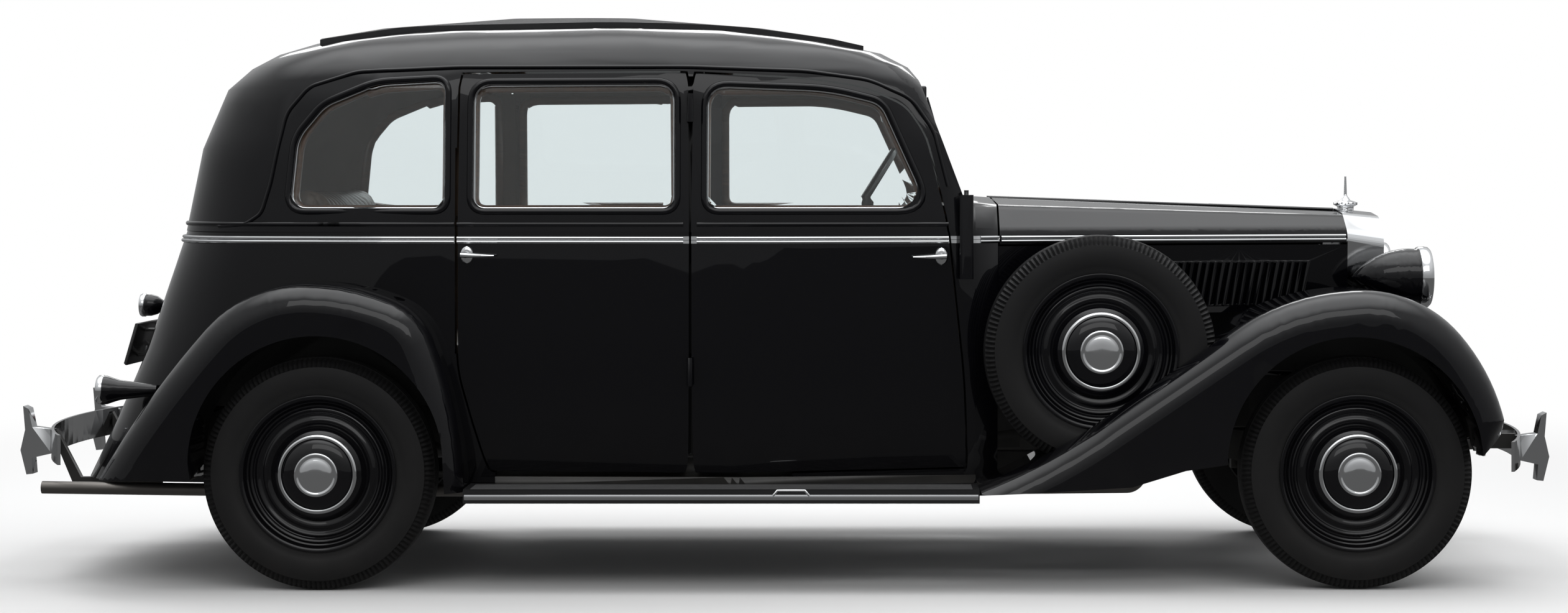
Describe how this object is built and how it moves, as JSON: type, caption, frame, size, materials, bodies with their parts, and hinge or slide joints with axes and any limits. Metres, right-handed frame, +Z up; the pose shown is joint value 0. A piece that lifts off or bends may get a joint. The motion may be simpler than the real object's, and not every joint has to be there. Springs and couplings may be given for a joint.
{
  "type": "limousine",
  "caption": "Long black 1930s saloon with pontoon wings, running boards, spare wheels in the front wings, upright grille and doors hinged on one middle pillar.",
  "frame": {"origin": "on the ground, on the centre line, midway between the ends of the bumpers", "axes": "+X forward, +Y to the car's left, +Z up"},
  "size_m": [4.659, 1.63, 1.7069],
  "materials": {
    "body_paint": "polished black paint",
    "frame_paint": "satin black paint",
    "glass": "clear",
    "roof_fabric": "woven black fabric",
    "chrome": "polished chrome",
    "grille": "polished slats",
    "board_rubber": "ribbed rubber",
    "tyre": "matt black rubber",
    "wheel_paint": "polished black paint",
    "engine_iron": "plain",
    "exhaust_steel": "dull steel",
    "signal_amber": "amber",
    "dash_wood": "varnished",
    "wheel_plastic": "glossy black",
    "seat_leather": "worn brown leather"
  },
  "bodies": {
    "body": {"axles": "frame_paint", "b_pillars": "frame_paint", "bonnet_sides": "body_paint", "bumper_irons": "exhaust_steel", "bumpers": "chrome", "chassis_frame": "frame_paint", "dashboard": "dash_wood", "engine": "engine_iron", "exhaust": "exhaust_steel", "fabric_roof": "roof_fabric", "fixed_glass": "glass", "floor_pan": "frame_paint", "front_seat": "seat_leather", "front_wings": "body_paint", "fuel_tank": "frame_paint", "lamp_glass": "glass", "lamps": "chrome", "radiator_grille": "grille", "radiator_shell": "chrome", "rear_body": "body_paint", "rear_seat": "seat_leather", "rear_wings": "body_paint", "roof_shell": "body_paint", "running_boards": "board_rubber", "scuttle": "body_paint", "spare_tyres": "tyre", "spare_wheels": "wheel_paint", "turn_signals": "signal_amber"},
    "door_front_left": {"door_front_left": "body_paint", "glass_front_left": "glass"},
    "door_front_right": {"door_front_right": "body_paint", "glass_front_right": "glass"},
    "door_rear_left": {"door_rear_left": "body_paint", "glass_rear_left": "glass"},
    "door_rear_right": {"door_rear_right": "body_paint", "glass_rear_right": "glass"},
    "bonnet_left": {"bonnet_left": "body_paint"},
    "bonnet_right": {"bonnet_right": "body_paint"},
    "knuckle_left": {"knuckle_left": "frame_paint"},
    "knuckle_right": {"knuckle_right": "frame_paint"},
    "wheel_front_left": {"tyre_front_left": "tyre", "wheel_front_left": "wheel_paint"},
    "wheel_front_right": {"tyre_front_right": "tyre", "wheel_front_right": "wheel_paint"},
    "wheel_rear_left": {"tyre_rear_left": "tyre", "wheel_rear_left": "wheel_paint"},
    "wheel_rear_right": {"tyre_rear_right": "tyre", "wheel_rear_right": "wheel_paint"},
    "steering_wheel": {"steering_wheel": "wheel_plastic"}
  },
  "joints": [
    {"name": "door_front_left_hinge", "type": "hinge", "parent": "body", "child": "door_front_left", "pos_m": [-0.2735, 0.703, 0.638], "axis": [0, -0.0244, 0.9997], "range_deg": [0, 70]},
    {"name": "door_front_right_hinge", "type": "hinge", "parent": "body", "child": "door_front_right", "pos_m": [-0.2735, -0.703, 0.638], "axis": [0, -0.0244, -0.9997], "range_deg": [0, 70]},
    {"name": "door_rear_left_hinge", "type": "hinge", "parent": "body", "child": "door_rear_left", "pos_m": [-0.2735, 0.703, 0.638], "axis": [0, 0.0244, -0.9997], "range_deg": [0, 70]},
    {"name": "door_rear_right_hinge", "type": "hinge", "parent": "body", "child": "door_rear_right", "pos_m": [-0.2735, -0.703, 0.638], "axis": [0, 0.0244, 0.9997], "range_deg": [0, 70]},
    {"name": "bonnet_left_hinge", "type": "hinge", "parent": "body", "child": "bonnet_left", "pos_m": [0.6345, 0, 1.151], "axis": [0.9994, 0, -0.0352], "range_deg": [0, 60]},
    {"name": "bonnet_right_hinge", "type": "hinge", "parent": "body", "child": "bonnet_right", "pos_m": [0.6345, 0, 1.151], "axis": [-0.9994, 0, 0.0352], "range_deg": [0, 60]},
    {"name": "steer_left", "type": "hinge", "parent": "body", "child": "knuckle_left", "pos_m": [1.6895, 0.5805, 0.3], "axis": [0, 0, 1], "range_deg": [-35, 35]},
    {"name": "steer_right", "type": "hinge", "parent": "body", "child": "knuckle_right", "pos_m": [1.6895, -0.5805, 0.3], "axis": [0, 0, 1], "range_deg": [-35, 35]},
    {"name": "steering_wheel_turn", "type": "hinge", "parent": "body", "child": "steering_wheel", "pos_m": [0.2335, 0.325, 1.126], "axis": [-0.848, 0, 0.5299], "range_deg": [-500, 500]},
    {"name": "spin_front_left", "type": "hinge", "parent": "knuckle_left", "child": "wheel_front_left", "pos_m": [1.6895, 0.6725, 0.343], "axis": [0, 1, 0], "continuous": true},
    {"name": "spin_front_right", "type": "hinge", "parent": "knuckle_right", "child": "wheel_front_right", "pos_m": [1.6895, -0.6725, 0.343], "axis": [0, 1, 0], "continuous": true},
    {"name": "spin_rear_left", "type": "hinge", "parent": "body", "child": "wheel_rear_left", "pos_m": [-1.3605, 0.69, 0.343], "axis": [0, 1, 0], "continuous": true},
    {"name": "spin_rear_right", "type": "hinge", "parent": "body", "child": "wheel_rear_right", "pos_m": [-1.3605, -0.69, 0.343], "axis": [0, 1, 0], "continuous": true}
  ],
  "couplings": [
    {"joint": "steer_right", "follows": "steer_left", "ratio": 1},
    {"joint": "steering_wheel_turn", "follows": "steer_left", "ratio": 14}
  ]
}
